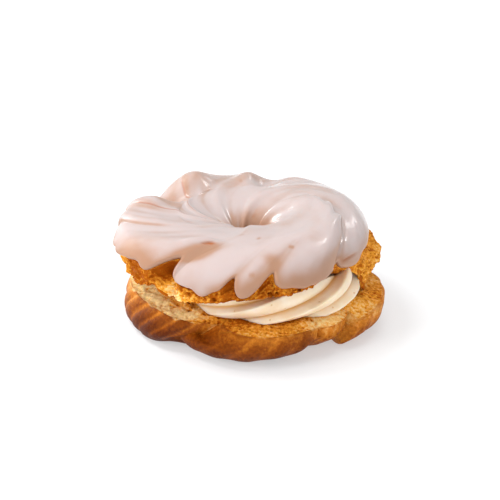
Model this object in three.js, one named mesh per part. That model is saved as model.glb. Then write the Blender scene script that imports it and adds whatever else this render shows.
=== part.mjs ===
// Choux ring: a twisted baked ring split level into base and lid, a piped rope of cream between
// the halves, and poured icing over the lid. Millimetres, +Z up. The origin is on the floor under
// the middle of the part, the shown front faces -Y, and ring angles run from +X towards +Y.

import * as THREE from "three";
import { ImprovedNoise } from "three/addons/math/ImprovedNoise.js";

// Clearance between pieces that touch.
const clearance = 0.3;

// Where the pieces lie. The lid has slid to the left, and the cream props up its front and right.
const baseCentre = new THREE.Vector3(1.3, 0.45, 0);
const lidCentre = new THREE.Vector3(-2.9, 0.85, 22.5);
const lidFrontUp = 2.9;
const lidRightUp = 2.6;

// Sections are rounded oblongs: reaches and rises are measured from the middle of the section.
const baseOval = {
  middleRadius: 26,
  middleHeight: 8,
  innerReach: 16.5,
  outerReach: 17.6,
  above: 13,
  below: 8.6,
  innerPower: 2.4,
  outerPower: 2.1,
  lowerPower: 2,
};
const cutHeight = 13.3;
// Height and size of the crumb's grain on the cut, which shows from one radius and in full from the next.
const cutCrumb = 0.45;
const crumbGrain = 3;
const crumbFrom = 37;
const crumbFull = 41;

const lidOval = {
  middleRadius: 23.5,
  middleHeight: 5,
  innerReach: 16,
  outerReach: 19.6,
  above: 10.8,
  below: 18,
  innerPower: 2.4,
  outerPower: 2.3,
  lowerPower: 2.3,
};
// The hole and the crest round it lie right of the lid's middle.
const holeRadius = 6.8;
const holeShift = 3.5;
const throatFlare = 1.5;
const crestShift = 2;
// The lid is fuller at the back left and right, with a small lump and a dip between.
const lidSwells = [
  { angle: 165, width: 14, rise: 2 },
  { angle: 146, width: 9, rise: -5 },
  { angle: 121, width: 13, rise: 4.6 },
  { angle: 85, width: 6, rise: 2.4 },
  { angle: 72, width: 8, rise: -3 },
  { angle: 28, width: 20, rise: 0.8 },
];
const swellStart = -0.1;
const swellFull = 0.35;
// Its rim reaches less far out at the left, the shoulder above is squarer there and the basin softer.
const rimSwells = [
  { angle: 195, width: 14, rise: -0.2 },
  { angle: 171, width: 14, rise: -2.8 },
  { angle: 139, width: 8, rise: -3.4 },
  { angle: 2, width: 12, rise: -1 },
];
const squareShoulder = [
  { angle: 168, width: 24, rise: 1.6 },
  { angle: 207, width: 22, rise: 1 },
];
const softBasin = [{ angle: 140, width: 70, rise: -1 }];

// Strands of the twisted lid: the angle of each fold between two strands at the hole, the crest and
// the rim, how deep it is, how far in it starts, from -1 at the hole over 0 at the crest to 1 at the rim,
// and how gently the strand after it lifts.
const lidFolds = [
  { hole: 210, crest: 143, rim: 115, depth: 1.6, start: 0, lift: 0.8 },
  { hole: 228, crest: 178, rim: 163, depth: 1.8, start: -0.1, lift: 0.8 },
  { hole: 258, crest: 221, rim: 174, depth: 2.2, start: -0.25, lift: 0.7 },
  { hole: 290, crest: 266, rim: 239, depth: 4, start: 0.2, lift: 0.7 },
  { hole: 384, crest: 376, rim: 312, depth: 2.4, start: -0.6, lift: 0.8 },
  { hole: 440, crest: 410, rim: 372, depth: 1.6, start: 0.2, lift: 0.8 },
  { hole: 495, crest: 466, rim: 425, depth: 1.8, start: 0.2, lift: 0.8 },
];
const foldFade = 0.5;
// A strand rises gently over one fold and falls steeply to the next.
const strandHeight = 1.6;
const steepFall = 5;

// Strands of the base: where each one begins at the cut and at the foot; how far it stands out at its
// start, middle and end, at the cut and at the foot; how full its belly is and how far its cut edge droops.
const baseFolds = [
  { cut: 195, foot: 180, start: [-0.5, 5], middle: [-2.6, 3.6], end: [-8, -6], belly: 2.6, droop: 0 },
  { cut: 251, foot: 223, start: [-11, -1], middle: [-0.9, 0.6], end: [-3.4, -3], belly: 2, droop: 1.2 },
  { cut: 304, foot: 299, start: [-5.4, -5], middle: [-1.6, -1.6], end: [-7, -7], belly: 1.7, droop: 1.5 },
  { cut: 328, foot: 318, start: [0.6, 1.6], middle: [4.1, 1.4], end: [-5, -5], belly: 1.8, droop: 1.6 },
  { cut: 388, foot: 374, start: [-3, -3], middle: [2, 2], end: [-1, -1], belly: 1.7, droop: 0.8 },
  { cut: 442, foot: 426, start: [-3, -3], middle: [2, 2], end: [-1, -1], belly: 2, droop: 0.4 },
  { cut: 498, foot: 482, start: [-3, -3], middle: [2, 4.4], end: [-1, 5], belly: 2, droop: 0.2 },
];
const strandStart = 5;
const strandEnd = 4;
const strandJoin = 0.85;
const footTurn = 160;
// Strands show from this radius outwards, in full from the second one.
const strandsFrom = 28;
const strandsFull = 40;

// Lower wall of the lid by ring angle: how far it shifts outwards to its lower edge, how far that edge
// arches up, the torn web of crumb that hangs to the base at the right, and bulges and hollows of the
// wall at a depth from 0 at the icing to 1 at the lower edge.
const lidWallShifts = [
  { angle: 205, width: 22, rise: -4.5 },
  { angle: 252, width: 18, rise: 1 },
  { angle: 321, width: 14, rise: -8 },
  { angle: 0, width: 16, rise: -1.2 },
];
const lidArches = [
  { angle: 205, width: 8, rise: 0.8 },
  { angle: 219, width: 8, rise: 3.2 },
  { angle: 227, width: 4, rise: 3.8 },
  { angle: 280, width: 36, rise: 3.6 },
  { angle: 306, width: 12, rise: 1.4 },
];
const tornWebs = [
  { angle: 347, width: 7, rise: 7.4 },
  { angle: 359, width: 12, rise: 8.7 },
];
const webThick = 2.8;
const wallBulges = [
  { angle: 6, width: 13, rise: 7.5, depth: 0.62 },
  { angle: 18, width: 10, rise: 2.5, depth: 0.3 },
  { angle: 233, width: 5, rise: -4, depth: 0.3 },
];
const bulgeDepth = 0.24;
// Crags of the wall, as degrees of the ring.
const cragPitch = 7;
// The wall lies this far behind the icing's lower edge.
const wallTuck = 0.5;

// Poured icing: thickness, how much more lies in the folds, and the ripples of its lower edge.
const icingThickness = 1.5;
const icingPool = 0.8;
const icingEdgeLevel = 6.9;
const icingRipples = [
  { angle: 195, width: 14, rise: 1.4 },
  { angle: 216, width: 11, rise: 2.4 },
  { angle: 232.5, width: 5, rise: 5.6 },
  { angle: 254, width: 5, rise: -2.2 },
  { angle: 264.8, width: 4, rise: 3.2 },
  { angle: 271.5, width: 4.6, rise: -3 },
  { angle: 280.3, width: 4, rise: 3.4 },
  { angle: 300, width: 11, rise: -1.9 },
  { angle: 315.5, width: 4, rise: 1.4 },
  { angle: 327, width: 7, rise: -2 },
  { angle: 350, width: 12, rise: 1.4 },
  { angle: 45, width: 10, rise: -3 },
  { angle: 70, width: 7, rise: 1 },
  { angle: 100, width: 9, rise: -3.4 },
  { angle: 128, width: 7, rise: 1 },
  { angle: 152, width: 9, rise: -3 },
];

// Piped cream: a star rope laid round the base, thick at the front right and thin at the left.
const creamOval = { middleRadius: 24.5, reach: 11.5, rise: 9.5, middleHeight: 20 };
const creamReachChange = [
  { angle: 324, width: 32, rise: 3.4 },
  { angle: 215, width: 40, rise: -6.5 },
  { angle: 346, width: 14, rise: -7.6 },
  { angle: 12, width: 20, rise: -5.5 },
];
// Outside the lid's lower edge the rope swells up beside it.
const creamCrown = [{ angle: 323, width: 12, rise: 4.5 }];
const crownFrom = 36;
const crownFull = 38;
const creamPoints = 10;
const creamTwist = 1.4;
const creamRidge = 0.11;

// Grain of the skins.
const columnPitch = 3.75;
const coverRows = 9;
const creamColumns = 84;

const quarter = Math.PI / 2;
const crags = new ImprovedNoise();
const { degToRad, smoothstep, lerp, clamp } = THREE.MathUtils;

// Bends a value by a power and keeps its sign.
const bend = (value, power) => Math.sign(value) * Math.abs(value) ** power;

// One soft bump round the ring, 1 at its angle.
function bump(angle, centre, width) {
  const apart = ((((angle - centre) % 360) + 540) % 360) - 180;
  return Math.exp(-((apart / width) ** 2));
}

function bumps(list, angle) {
  return list.reduce((sum, one) => sum + one.rise * bump(angle, one.angle, one.width), 0);
}

// Point and outward direction of a section. Turn 0 is its top, a quarter turn its outer side.
function ovalSection(oval, turn) {
  const inside = Math.sin(turn) < 0;
  const under = Math.cos(turn) < 0;
  const reach = inside ? oval.innerReach : oval.outerReach;
  const rise = under ? oval.below : oval.above;
  const outerPower = under ? oval.lowerPower : oval.outerPower;
  const power = inside ? oval.innerPower : outerPower;
  const across = bend(Math.sin(turn), 2 / power);
  const up = bend(Math.cos(turn), 2 / power);
  const point = new THREE.Vector2(oval.middleRadius + reach * across, oval.middleHeight + rise * up);
  const outward = new THREE.Vector2(bend(across, power - 1) / reach, bend(up, power - 1) / rise);
  return { point, outward: outward.normalize() };
}

// Turns that lie evenly along the section from one turn up to another.
function evenTurns(oval, from, to, count) {
  const fine = 400;
  const turns = Array.from({ length: fine + 1 }, (_, i) => lerp(from, to, i / fine));
  const points = turns.map((turn) => ovalSection(oval, turn).point);
  const lengths = [0];
  for (let i = 1; i <= fine; i++) {
    lengths.push(lengths[i - 1] + points[i].distanceTo(points[i - 1]));
  }
  return Array.from({ length: count }, (_, i) => {
    const wanted = (lengths[fine] * i) / count;
    return turns[lengths.findIndex((length) => length >= wanted)];
  });
}

// Columns of a rope of strands, spread evenly by the angles of its folds. A fold lies at each whole number.
function strandColumns(foldAngles) {
  const ends = [...foldAngles, foldAngles[0] + 360];
  return foldAngles.flatMap((angle, k) => {
    const count = Math.round((ends[k + 1] - angle) / columnPitch);
    return Array.from({ length: count }, (_, i) => k + i / count);
  });
}

// Angle at a place between two folds, part way from one named angle of the folds to another.
function strandAngle(folds, strands, from, to, share) {
  const foldAngle = (k) => {
    const fold = folds[k % folds.length];
    return lerp(fold[from], fold[to], share) + 360 * Math.floor(k / folds.length);
  };
  const k = Math.floor(strands);
  return lerp(foldAngle(k), foldAngle(k + 1), strands - k);
}

function ringPoint(radius, angle, height) {
  const along = degToRad(angle);
  return new THREE.Vector3(radius * Math.cos(along), radius * Math.sin(along), height);
}

// A closed skin: columns run round the hole and rows round the section. A twisted skin joins its last
// column to the first one with its rows shifted, and leaning picks the diagonal that splits each face.
function ringSkin(columns, rows, pointAt, { rowShift = 0, leaning = false } = {}) {
  const positions = [];
  const index = [];
  for (let column = 0; column < columns; column++) {
    for (let row = 0; row < rows; row++) {
      positions.push(...pointAt(column, row).toArray());
      const next = (row + 1) % rows;
      const last = column === columns - 1;
      const beyond = (r) => (last ? (r + rowShift) % rows : (column + 1) * rows + r);
      const [a, b, c, d] = [column * rows + row, column * rows + next, beyond(next), beyond(row)];
      index.push(...(leaning ? [a, c, d, a, b, c] : [a, b, d, d, b, c]));
    }
  }
  const skin = new THREE.BufferGeometry();
  skin.setAttribute("position", new THREE.Float32BufferAttribute(positions, 3));
  skin.setIndex(index);
  return skin;
}

// Base: the lower half of the ring, a rope of strands whose folds lag towards the foot.
function baseGeometry() {
  const cutShare = (cutHeight - baseOval.middleHeight) / baseOval.above;
  const cutTurn = Math.acos(cutShare ** (baseOval.outerPower / 2));
  const foot = degToRad(footTurn);
  const rows = [
    ...evenTurns(baseOval, -foot, -cutTurn, 3),
    ...evenTurns(baseOval, -cutTurn, cutTurn, 5),
    ...evenTurns(baseOval, cutTurn, foot, 7),
    ...evenTurns(baseOval, foot, 2 * Math.PI - foot, 2),
  ];
  const columns = strandColumns(baseFolds.map((fold) => fold.cut));
  return ringSkin(columns.length, rows.length, (column, row) => {
    const strands = columns[column];
    const strand = baseFolds[Math.floor(strands)];
    const next = baseFolds[(Math.floor(strands) + 1) % baseFolds.length];
    const along = strands - Math.floor(strands);
    const joined = smoothstep(along, strandJoin, 1);
    const oval = { ...baseOval, lowerPower: lerp(strand.belly, next.belly, joined) };
    const { point, outward } = ovalSection(oval, rows[row]);
    const outer = smoothstep(point.x, strandsFrom, strandsFull);
    const low = outer * (1 - clamp(point.y / cutHeight, 0, 1));
    const angle = strandAngle(baseFolds, strands, "cut", "foot", low);
    const [start, middle, end] = [strand.start, strand.middle, strand.end].map((ends) => lerp(...ends, low));
    const fromStart = (start - middle) * (1 - along) ** strandStart;
    const stand = middle + fromStart + (end - middle) * along ** strandEnd;
    point.addScaledVector(outward, stand * outer);
    const ring = ringPoint(point.x, angle, point.y);
    const grain = crags.noise(ring.x / crumbGrain, ring.y / crumbGrain, 0.5);
    const crumb = cutCrumb * grain * smoothstep(point.x, crumbFrom, crumbFull);
    const edge = smoothstep(point.x, strandsFrom + stand, strandsFull + stand);
    const droop = lerp(strand.droop, next.droop, joined) * edge;
    ring.z = clamp(ring.z, 0, cutHeight + crumb - droop);
    return ring;
  });
}

// Angle on the lid: out is -1 at the hole, 0 at the crest and 1 at the rim.
function lidAngle(strands, out) {
  return strandAngle(lidFolds, strands, "crest", out < 0 ? "hole" : "rim", Math.abs(out));
}
const lidColumns = strandColumns(lidFolds.map((fold) => (fold.crest + fold.rim) / 2));

// Height of a strand over its folds.
function strandRise(strands, out) {
  const k = Math.floor(strands);
  const across = strands - k;
  const depthOf = (fold) => fold.depth * smoothstep(out, fold.start, fold.start + foldFade);
  const depth = lerp(depthOf(lidFolds[k]), depthOf(lidFolds[(k + 1) % lidFolds.length]), across);
  return strandHeight * depth * across ** lidFolds[k].lift * (1 - across ** steepFall);
}

// A point of the lid's dome, raised off it by some thickness, before the lid is tipped and placed.
function domePoint(strands, turn, raise) {
  const across = Math.sin(turn);
  const out = bend(across, 2 / (across < 0 ? lidOval.innerPower : lidOval.outerPower));
  const angle = lidAngle(strands, out);
  const aside = holeShift * Math.sin(degToRad(angle));
  const crest = lidOval.middleRadius + crestShift * Math.cos(degToRad(angle));
  const throat = holeShift * Math.cos(degToRad(angle)) + Math.sqrt(holeRadius ** 2 - aside ** 2);
  const oval = {
    ...lidOval,
    above: lidOval.above + bumps(lidSwells, angle) * smoothstep(out, swellStart, swellFull),
    middleRadius: crest,
    innerReach: crest - throat,
    innerPower: lidOval.innerPower + bumps(softBasin, angle),
    outerPower: lidOval.outerPower + bumps(squareShoulder, angle),
    outerReach: lidOval.middleRadius + lidOval.outerReach + bumps(rimSwells, angle) - crest,
  };
  const { point, outward } = ovalSection(oval, turn);
  point.addScaledVector(outward, strandRise(strands, out) + raise);
  return { radius: point.x, height: point.y, angle };
}

// Turns of one column of the dome, from the throat of the hole out to the icing's lower edge.
const wholeDome = evenTurns(lidOval, -quarter, degToRad(100), 300);
function coverTurns(strands, count) {
  const edgeHeight = icingEdgeLevel + bumps(icingRipples, lidAngle(strands, 1)) - lidOval.middleHeight;
  const edgeShare = edgeHeight / (edgeHeight < 0 ? lidOval.below : lidOval.above);
  const edgeTurn = Math.acos(bend(edgeShare, lidOval.outerPower / 2));
  const last = wholeDome.findIndex((turn) => turn >= edgeTurn);
  return Array.from({ length: count }, (_, i) => wholeDome[Math.round((last * i) / (count - 1))]);
}

// Lid: the dome, then the bare wall below the icing, then the torn underside back to the hole.
function lidGeometry() {
  const wallRows = 3;
  const undersideShares = [0, 0.11, 0.5, 1];
  const rows = coverRows + wallRows + undersideShares.length;
  return ringSkin(lidColumns.length, rows, (column, row) => {
    const strands = lidColumns[column];
    const turns = coverTurns(strands, coverRows);
    if (row < coverRows) {
      const { radius, height, angle } = domePoint(strands, turns[row], 0);
      return ringPoint(radius, angle, height);
    }
    const rim = domePoint(strands, turns[coverRows - 1], 0);
    const arch = bumps(lidArches, rim.angle);
    const bottom = arch - bumps(tornWebs, rim.angle);
    const bottomRadius = rim.radius + bumps(lidWallShifts, rim.angle);
    if (row < coverRows + wallRows) {
      const down = (row - coverRows + 1) / wallRows;
      const radius = lerp(rim.radius, bottomRadius, smoothstep(down, -0.2, 1));
      const near = wallBulges.map((one) => ({ ...one, rise: one.rise * bump(down, one.depth, bulgeDepth) }));
      const crag = crags.noise(rim.angle / cragPitch, down * 2, 0.5) + bumps(near, rim.angle);
      return ringPoint(radius + crag - wallTuck, rim.angle, lerp(rim.height, bottom, down));
    }
    const inward = undersideShares[row - coverRows - wallRows];
    const throat = domePoint(strands, turns[0], 0);
    const radius = lerp(bottomRadius - webThick, throat.radius + throatFlare, inward);
    const height = inward === 0 ? bottom : arch * (1 - inward);
    return ringPoint(radius, lerp(rim.angle, throat.angle, inward), height);
  }, { leaning: true });
}

// Icing: over the dome from the throat to the lower edge, and back along the lid's skin.
function icingGeometry() {
  const outerRows = 11;
  return ringSkin(lidColumns.length, outerRows + coverRows, (column, row) => {
    const strands = lidColumns[column];
    const outside = row < outerRows;
    const turns = coverTurns(strands, outside ? outerRows : coverRows);
    const fold = Math.abs(strands - Math.round(strands));
    const body = icingThickness + icingPool * (1 - smoothstep(fold, 0, 0.25));
    const atEdge = row === 0 || row === outerRows - 1;
    const thickness = body * (atEdge ? 0.5 : 1);
    const turn = outside ? turns[row] : turns[coverRows - 1 - (row - outerRows)];
    const { radius, height, angle } = domePoint(strands, turn, clearance + (outside ? thickness : 0));
    return ringPoint(radius, angle, height);
  });
}

// Cream: a star section that turns as it runs round, flattened between the base and the lid.
function creamGeometry() {
  const slopeRight = Math.tan(degToRad(lidRightUp));
  const slopeFront = Math.tan(degToRad(lidFrontUp));
  const fromLid = baseCentre.clone().sub(lidCentre);
  const rows = 2 * creamPoints;
  return ringSkin(creamColumns, rows, (column, row) => {
    const around = (360 * column) / creamColumns;
    const turn = (2 * Math.PI * row) / rows - creamTwist * degToRad(around);
    const swell = 1 + (row % 2 === 0 ? creamRidge : -creamRidge);
    const outer = Math.sin(turn) > 0;
    const reach = creamOval.reach + (outer ? bumps(creamReachChange, around) : 0);
    const point = ringPoint(creamOval.middleRadius + reach * swell * Math.sin(turn), around, 0);
    const lidHeight = lidCentre.z + slopeRight * (point.x + fromLid.x) - slopeFront * (point.y + fromLid.y);
    const height = creamOval.middleHeight + creamOval.rise * swell * Math.cos(turn);
    const beyond = smoothstep(Math.hypot(point.x, point.y), crownFrom, crownFull);
    const top = lidHeight - 2 * clearance + bumps(creamCrown, around) * beyond;
    point.z = clamp(height, cutHeight + clearance, top);
    return point;
  }, { rowShift: rows - (Math.round(creamTwist * rows) % rows) });
}

function piece(name, geometry, colour, roughness) {
  const material = new THREE.MeshStandardMaterial({ color: colour, roughness, metalness: 0 });
  const mesh = new THREE.Mesh(geometry, material);
  mesh.name = name;
  return mesh;
}

const lower = new THREE.Group();
lower.position.copy(baseCentre);
lower.add(piece("choux_base", baseGeometry(), "#b9702c", 0.75));
lower.add(piece("cream", creamGeometry(), "#ecd9b0", 0.5));

const lid = new THREE.Group();
lid.position.copy(lidCentre);
lid.rotation.set(-degToRad(lidFrontUp), -degToRad(lidRightUp), 0);
lid.add(piece("choux_top", lidGeometry(), "#c07a30", 0.75));
lid.add(piece("icing", icingGeometry(), "#e2cdc8", 0.2));

const chouxRing = new THREE.Group();
chouxRing.add(lower, lid);

export default chouxRing;
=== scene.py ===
# Filled choux ring: twisted baked halves, a piped rope of cream between them, poured icing over the lid.
# Shapes are worked out in millimetres in the part's frame; ring angles run from +X towards +Y.
import math

import bpy
import numpy as np
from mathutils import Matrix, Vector


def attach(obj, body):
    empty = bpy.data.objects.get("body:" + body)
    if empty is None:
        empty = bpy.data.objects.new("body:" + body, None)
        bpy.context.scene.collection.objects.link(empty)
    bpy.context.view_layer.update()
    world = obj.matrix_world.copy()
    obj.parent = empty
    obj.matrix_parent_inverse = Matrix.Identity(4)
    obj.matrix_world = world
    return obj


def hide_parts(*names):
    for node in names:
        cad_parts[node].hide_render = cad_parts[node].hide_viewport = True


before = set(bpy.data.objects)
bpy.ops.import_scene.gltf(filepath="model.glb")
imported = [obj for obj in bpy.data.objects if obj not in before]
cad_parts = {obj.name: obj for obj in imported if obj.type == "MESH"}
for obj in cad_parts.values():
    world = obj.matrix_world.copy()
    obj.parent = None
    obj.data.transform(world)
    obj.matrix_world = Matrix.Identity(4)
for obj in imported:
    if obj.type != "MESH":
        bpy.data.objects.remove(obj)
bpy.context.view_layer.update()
mm = 0.001


# small helpers for the ring shapes
def fade(value, low, high):
    share = np.clip((value - low) / (high - low), 0, 1)
    return share * share * (3 - 2 * share)


def window(value, comes, goes):
    return fade(value, *comes) * (1 - fade(value, *goes))


def mix(first, second, share):
    return first + (second - first) * share


def bend(value, power):
    return np.sign(value) * np.abs(value) ** power


def bell(value, centre, width):
    return np.exp(-((value - centre) / width) ** 2)


def bump(angle, centre, width):  # bell round the ring
    return bell((angle - centre + 180) % 360 - 180, 0, width)


def bumps(rows, angle):  # rows of angle, width and rise
    return sum(rise * bump(angle, centre, width) for centre, width, rise in rows)


def patches(rows, angle, place):  # bumps that come in between two places along the section
    return sum(rise * bump(angle, centre, width) * fade(place, first, full)
               for centre, width, rise, first, full in rows)


def lumps(points, size, seed):  # smooth lumps from -1 to 1, about one size across
    place = points / size + 31.7 * seed
    cell = np.floor(place).astype(np.int64)
    part = place - cell
    part = part * part * (3 - 2 * part)
    total = np.zeros(points.shape[:-1])
    for corner in range(8):
        step = np.array([corner & 1, corner >> 1 & 1, corner >> 2])
        x, y, z = np.moveaxis(cell + step, -1, 0)
        mixed = (x * 73856093) ^ (y * 19349663) ^ (z * 83492791)  # scrambled to a fixed height
        mixed = (mixed ^ (mixed >> 13)) * 1274126177
        height = ((mixed ^ (mixed >> 16)) & 0xFFFF) / 32767.5 - 1
        total += height * np.prod(np.where(step, part, 1 - part), axis=-1)
    return total


def lumpRows(rows, points):  # rows of height, size and seed
    return sum(height * lumps(points, size, seed) for height, size, seed in rows)


def ovalSection(oval, turn):  # radius, height and outward direction; turn 0 is the top
    inside, under = np.sin(turn) < 0, np.cos(turn) < 0
    reach = np.where(inside, oval["innerReach"], oval["outerReach"])
    rise = np.where(under, oval["below"], oval["above"])
    outerPower = np.where(under, oval["lowerPower"], oval["outerPower"])
    power = np.where(inside, oval["innerPower"], outerPower)
    across, up = bend(np.sin(turn), 2 / power), bend(np.cos(turn), 2 / power)
    outX, outZ = bend(across, power - 1) / reach, bend(up, power - 1) / rise
    size = np.hypot(outX, outZ)
    return oval["middleRadius"] + reach * across, oval["middleHeight"] + rise * up, outX / size, outZ / size


def foldRows(heads, *rows):
    return [dict(zip(heads.split(), row)) for row in rows]


def strandPlaces(folds, key, pitch):  # columns that follow the folds, one fold at each whole number
    angles = [fold[key] for fold in folds] + [folds[0][key] + 360]
    counts = [round((angles[k + 1] - angles[k]) / pitch) for k in range(len(folds))]
    return np.concatenate([k + np.arange(n) / n for k, n in enumerate(counts)])


def strandAngle(folds, strands, start, end, share):
    first, last = np.array([fold[start] for fold in folds]), np.array([fold[end] for fold in folds])
    k = np.floor(strands).astype(int)

    def foldAngle(k):
        return mix(first[k % len(folds)], last[k % len(folds)], share) + 360 * (k // len(folds))

    return mix(foldAngle(k), foldAngle(k + 1), strands - k)


def foldValue(folds, strands, key):  # a fold's value and the next fold's
    values = np.array([fold[key] for fold in folds])
    k = np.floor(strands).astype(int)
    return values[k % len(folds)], values[(k + 1) % len(folds)]


def ringPoints(radius, angle, height):
    along = np.radians(angle)
    return np.stack(np.broadcast_arrays(radius * np.cos(along), radius * np.sin(along), height), -1)


def ringPiece(name, grid, **layers):  # closed skin: columns round the hole, rows round the section
    columns, rows = grid.shape[:2]
    index = np.arange(columns * rows).reshape(columns, rows)
    beside, above = np.roll(index, -1, 0), np.roll(index, -1, 1)
    quads = np.stack([index, above, np.roll(beside, -1, 1), beside], -1).reshape(-1, 4)
    mesh = bpy.data.meshes.new(name)
    mesh.from_pydata((grid.reshape(-1, 3) * mm).tolist(), [], quads.tolist())
    for label, values in layers.items():
        spots = mesh.attributes.new(label, "FLOAT", "POINT")
        values = np.broadcast_to(values, grid.shape[:2]).astype(np.float32)
        spots.data.foreach_set("value", values.ravel())
    mesh.shade_smooth()
    piece = bpy.data.objects.new(name, mesh)
    bpy.context.scene.collection.objects.link(piece)
    return piece


# node trees: one wire is one output socket, and sums on wires add Math nodes
class Wire:
    def __init__(self, tree, socket):
        self.tree, self.socket = tree, socket

    def node(self, kind, settings=None, sockets=None, out=0):
        made = self.tree.nodes.new(kind)
        for key, value in (settings or {}).items():
            if key == "stops":
                ramp = made.color_ramp.elements
                while len(ramp) < len(value):
                    ramp.new(1)
                for stop, (place, tone) in zip(ramp, value):
                    stop.position, stop.color = place, tone
            else:
                setattr(made, key, value)
        for key, value in (sockets or {}).items():
            if isinstance(value, Wire):
                self.tree.links.new(value.socket, made.inputs[key])
            else:
                made.inputs[key].default_value = value
        return Wire(self.tree, made.outputs[out])

    def maths(self, operation, *others):
        return self.node("ShaderNodeMath", {"operation": operation}, dict(enumerate((self, *others))))

    def reflected(self, operation, other):
        return self.node("ShaderNodeMath", {"operation": operation}, {0: other, 1: self})

    def __add__(self, other):
        return self.maths("ADD", other)

    def __radd__(self, other):
        return self.reflected("ADD", other)

    def __sub__(self, other):
        return self.maths("SUBTRACT", other)

    def __rsub__(self, other):
        return self.reflected("SUBTRACT", other)

    def __mul__(self, other):
        return self.maths("MULTIPLY", other)

    def __rmul__(self, other):
        return self.reflected("MULTIPLY", other)

    def __truediv__(self, other):
        return self.maths("DIVIDE", other)

    def __rtruediv__(self, other):
        return self.reflected("DIVIDE", other)

    def __pow__(self, other):
        return self.maths("POWER", other)

    def between(self, low, high):  # soft step from 0 at low to 1 at high
        return self.node("ShaderNodeMapRange", {"interpolation_type": "SMOOTHSTEP"},
                         {"Value": self, "From Min": low, "From Max": high})

    def blend(self, first, second):  # colour mix, with this wire as the share
        return self.node("ShaderNodeMix", {"data_type": "RGBA"}, {0: self, 6: first, 7: second}, out=2)

    def ramp(self, stops):
        return self.node("ShaderNodeValToRGB", {"stops": stops}, {"Fac": self})

    def part(self, axis):
        return self.node("ShaderNodeSeparateXYZ", None, {"Vector": self}, out=axis)


def noise(place, scale, detail, rough=0.5):
    sockets = {"Vector": place, "Scale": scale, "Detail": detail, "Roughness": rough}
    return place.node("ShaderNodeTexNoise", None, sockets)


def cells(place, scale):  # how far off a cell's middle is, and the cell's own chance
    sockets = {"Vector": place, "Scale": scale}
    away, chance = (place.node("ShaderNodeTexVoronoi", {"feature": "F1"}, sockets, out) for out in (0, 1))
    return away, chance.part(0)


def layer(place, name):  # a piece's own values, for its finish
    return place.node("ShaderNodeAttribute", {"attribute_name": name}, out=2)


def relief(wire, strength, distance, **settings):
    return wire.node("ShaderNodeBump", settings, {"Height": wire, "Strength": strength, "Distance": distance})


def named(shape, name):  # a piece's own values, in a geometry tree
    return shape.node("GeometryNodeInputNamedAttribute", {"data_type": "FLOAT"}, {"Name": name})


def store(shape, name, value):
    return shape.node("GeometryNodeStoreNamedAttribute", {"data_type": "FLOAT", "domain": "POINT"},
                      {"Geometry": shape, "Name": name, "Value": value})


def colour(red, green, blue):  # 0 to 255 as seen on screen, to a linear colour
    def linear(value):
        return ((value / 255 + 0.055) / 1.055) ** 2.4 if value > 10 else value / 3294.6

    return linear(red), linear(green), linear(blue), 1


def growTree(name, inputs):  # geometry tree with its named inputs as wires
    tree = bpy.data.node_groups.new(name, "GeometryNodeTree")
    tree.interface.new_socket("Geometry", in_out="INPUT", socket_type="NodeSocketGeometry")
    for label in inputs:
        tree.interface.new_socket(label, in_out="INPUT", socket_type="NodeSocketFloat")
    tree.interface.new_socket("Geometry", in_out="OUTPUT", socket_type="NodeSocketGeometry")
    source = tree.nodes.new("NodeGroupInput")
    return tree, {socket.name: Wire(tree, socket) for socket in source.outputs if socket.name}


def closeTree(tree, shape, material):
    whole = shape.node("GeometryNodeRealizeInstances", None, {"Geometry": shape})
    whole = whole.node("GeometryNodeSetMaterial", None, {"Geometry": whole, "Material": material})
    end = tree.nodes.new("NodeGroupOutput")
    tree.links.new(whole.socket, end.inputs["Geometry"])


def runTree(piece, tree, sizes):  # evaluate the tree once and keep a plain mesh
    modifier = piece.modifiers.new(tree.name, "NODES")
    modifier.node_group = tree
    for item in tree.interface.items_tree:
        if item.in_out == "INPUT" and item.name in sizes:
            modifier[item.identifier] = float(sizes[item.name])
    evaluated = piece.evaluated_get(bpy.context.evaluated_depsgraph_get())
    mesh = bpy.data.meshes.new_from_object(evaluated)
    piece.modifiers.remove(modifier)
    piece.data = mesh
    mesh.name = piece.name
    mesh.shade_smooth()
    print(piece.name, "has", sum(len(face.vertices) - 2 for face in mesh.polygons), "triangles")


def newFinish(name, **sockets):  # material with its fixed values set on the shader itself
    material = bpy.data.materials.new(name)
    material.use_nodes = True
    shader = material.node_tree.nodes["Principled BSDF"]
    for label, value in sockets.items():
        shader.inputs[label].default_value = value
    coordinate = material.node_tree.nodes.new("ShaderNodeTexCoord")
    return material, shader, Wire(material.node_tree, coordinate.outputs["Object"])


def feed(shader, wires):
    for label, wire in wires.items():
        wire.tree.links.new(wire.socket, shader.inputs[label])


# camera: a little above the front
view = {"target": (-0.1, 0.55, 25.2), "elevation": 25.5, "distance": 700, "lens": 144, "sensor": 36}
camera = bpy.data.objects.new("camera", bpy.data.cameras.new("camera"))
bpy.context.scene.collection.objects.link(camera)
lean = math.radians(view["elevation"])
back = Vector((0, -math.cos(lean), math.sin(lean)))
camera.location = (Vector(view["target"]) + back * view["distance"]) * mm
camera.rotation_euler = back.to_track_quat("Z", "Y").to_euler()
camera.data.lens = view["lens"]
camera.data.sensor_width = view["sensor"]
camera.data.clip_start = 0.01
bpy.context.scene.camera = camera
print("camera set")

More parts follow.
